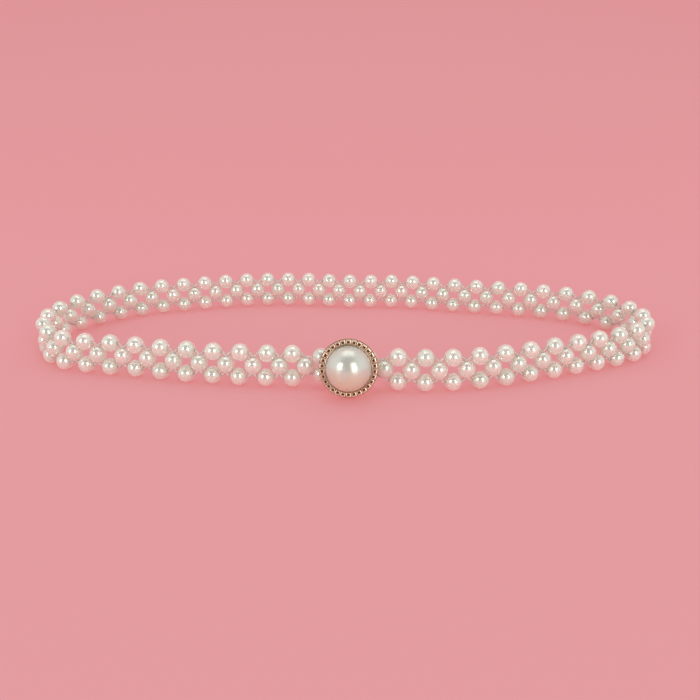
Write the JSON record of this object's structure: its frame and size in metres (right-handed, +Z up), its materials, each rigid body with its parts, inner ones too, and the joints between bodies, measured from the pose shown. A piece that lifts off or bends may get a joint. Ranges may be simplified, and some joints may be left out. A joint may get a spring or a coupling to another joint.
{
  "type": "beaded stretch belt",
  "caption": "Elastic stretch belt of white imitation pearls woven in three rows, with a large half pearl in a round gold setting at the front; worn round the waist.",
  "frame": {"origin": "on the floor under the middle of the belt's box, the belt standing on its lower edge", "axes": "+X along the loop's long way, to the right seen from the front; the ornament faces -Y; +Z up"},
  "size_m": [0.3136, 0.1403, 0.0257],
  "materials": {
    "ivory_pearl": "pearlescent coating",
    "large_ivory_pearl": "pearlescent coating",
    "pale_gold": "pale gold plating, darkened in the recesses"
  },
  "bodies": {
    "root": {"pearl_weave_left": "ivory_pearl", "pearl_weave_right": "ivory_pearl", "ornament_setting": "pale_gold", "large_pearl": "large_ivory_pearl"}
  },
  "joints": []
}
